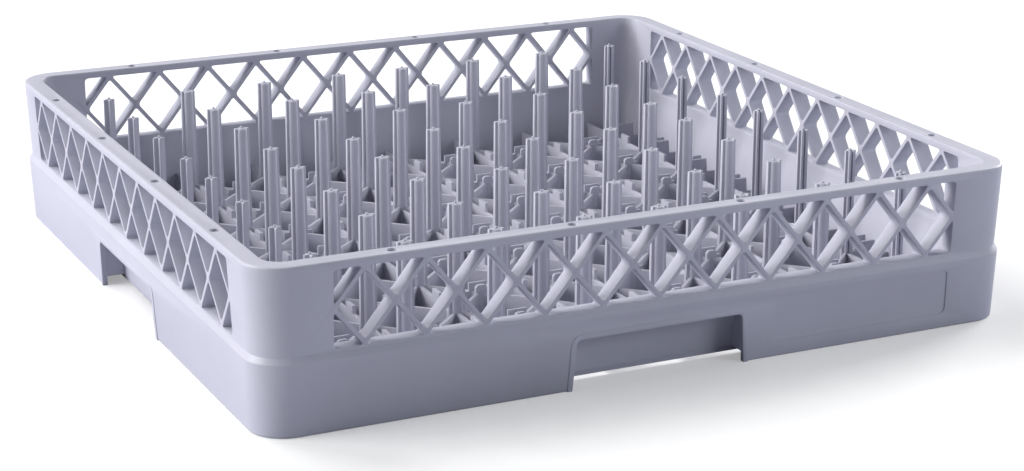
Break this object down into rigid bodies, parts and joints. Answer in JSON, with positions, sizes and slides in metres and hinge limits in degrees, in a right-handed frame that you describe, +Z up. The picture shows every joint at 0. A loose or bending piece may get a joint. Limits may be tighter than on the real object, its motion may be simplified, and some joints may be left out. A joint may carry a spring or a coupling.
{
  "type": "dishwasher plate rack",
  "caption": "Square dishwasher rack moulded in one piece: lattice walls on a hollow skirt with hand notches, and rows of upright pegs on an open grid floor that hold plates on edge.",
  "frame": {"origin": "middle of the rack on the surface it stands on", "axes": "+Z up, +X to the right along the wall with the label panel, +Y to the back"},
  "size_m": [0.5, 0.5, 0.1],
  "materials": {
    "polypropylene": "fine matt, as moulded"
  },
  "bodies": {
    "root": {"plate_rack": "polypropylene"}
  },
  "joints": []
}
